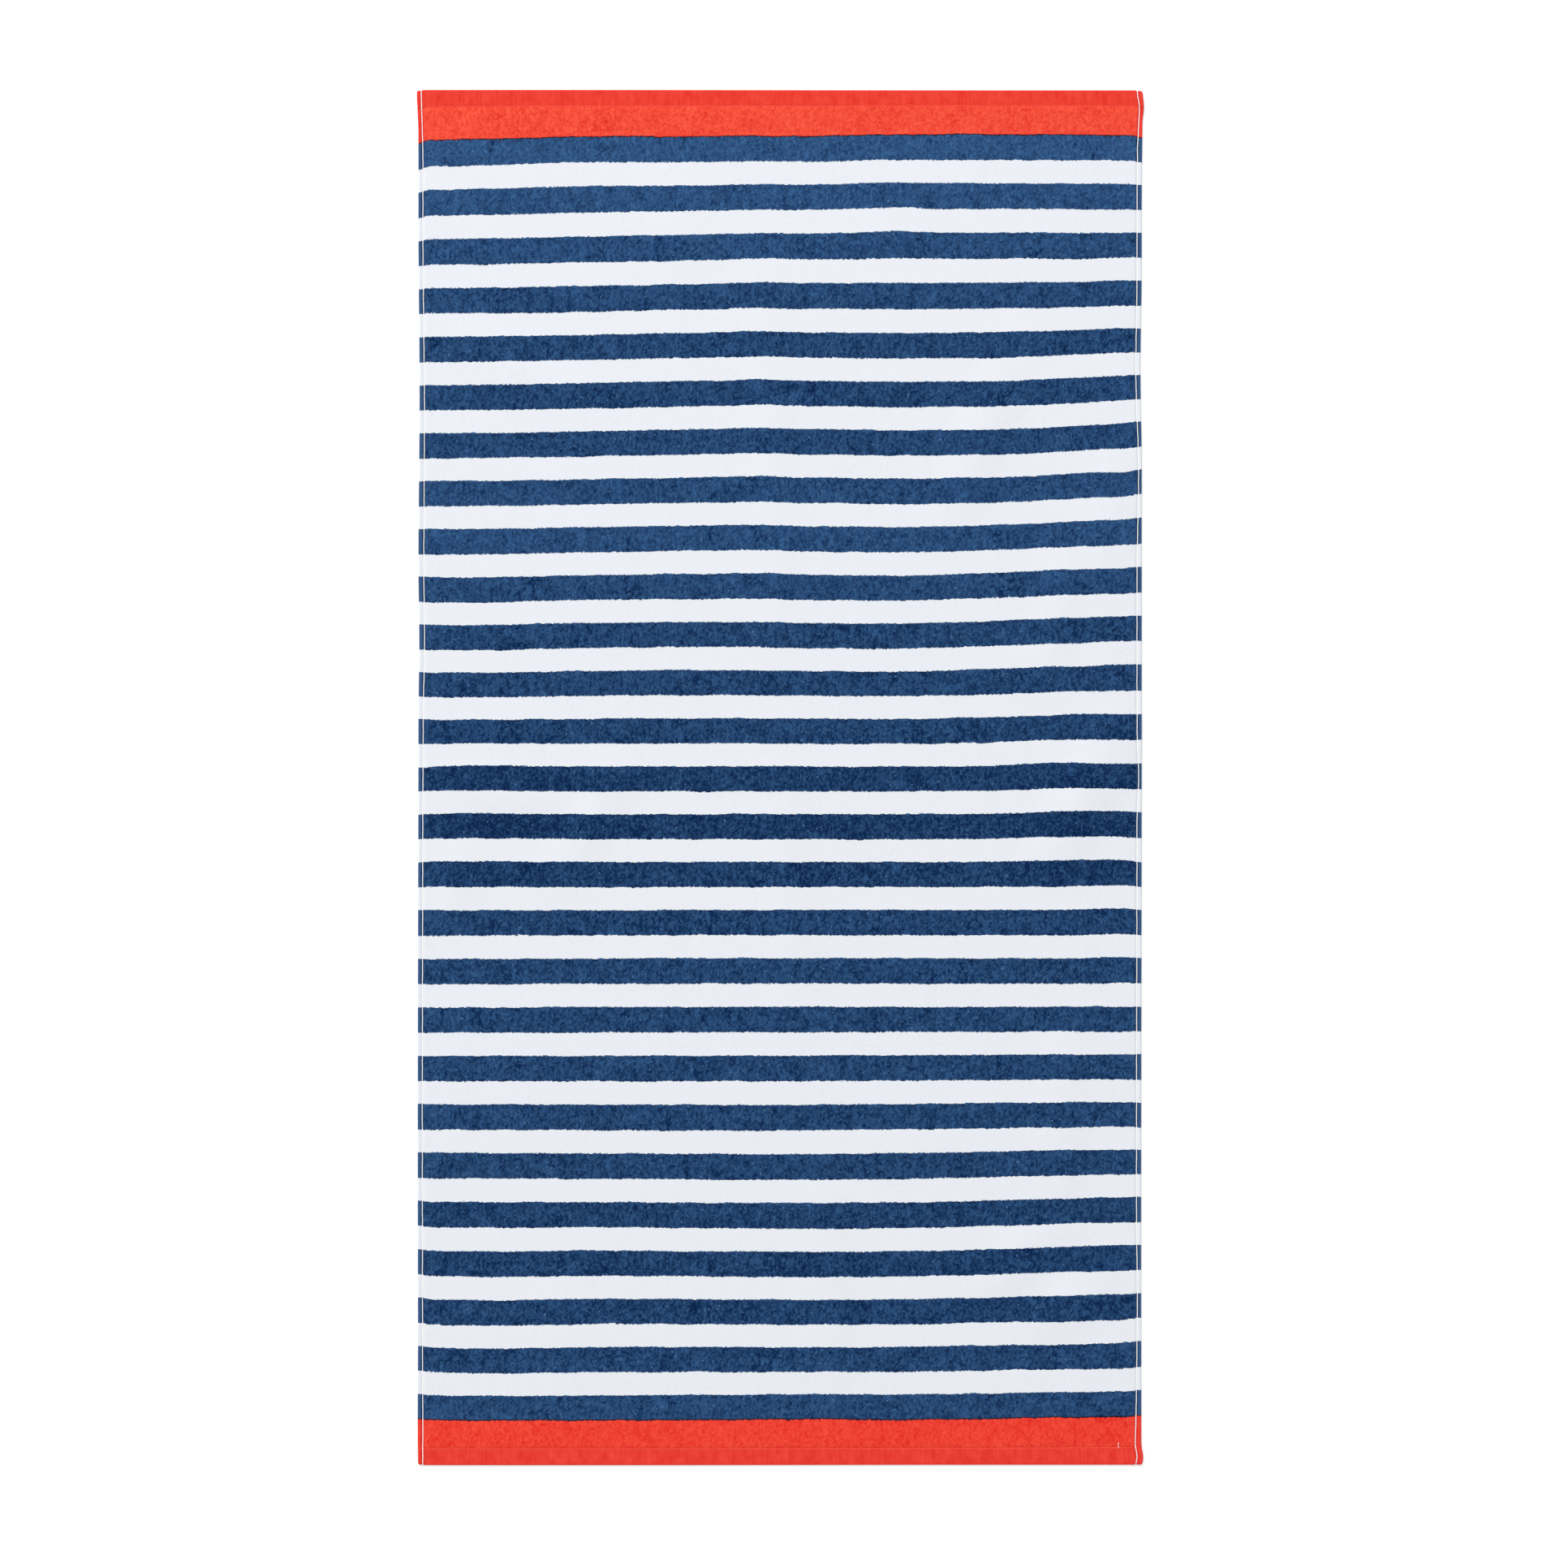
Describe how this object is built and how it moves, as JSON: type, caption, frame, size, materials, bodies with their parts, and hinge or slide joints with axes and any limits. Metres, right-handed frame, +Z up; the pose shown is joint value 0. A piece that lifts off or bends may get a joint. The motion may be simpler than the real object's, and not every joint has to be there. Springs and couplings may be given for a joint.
{
  "type": "beach towel",
  "caption": "Rectangular beach towel of sheared cotton terry with cross stripes and folded, stitched hems, laid out flat with faint storage creases.",
  "frame": {"origin": "on the surface that the towel lies on, under the middle of its outline", "axes": "+Y along the towel's length, +X across its width, +Z up out of the pile side"},
  "size_m": [0.8992, 1.701, 0.0076],
  "materials": {
    "terry": "sheared cotton pile, printed with navy and white cross stripes and a red band at each end, no shine"
  },
  "bodies": {
    "root": {"towel": "terry"}
  },
  "joints": []
}
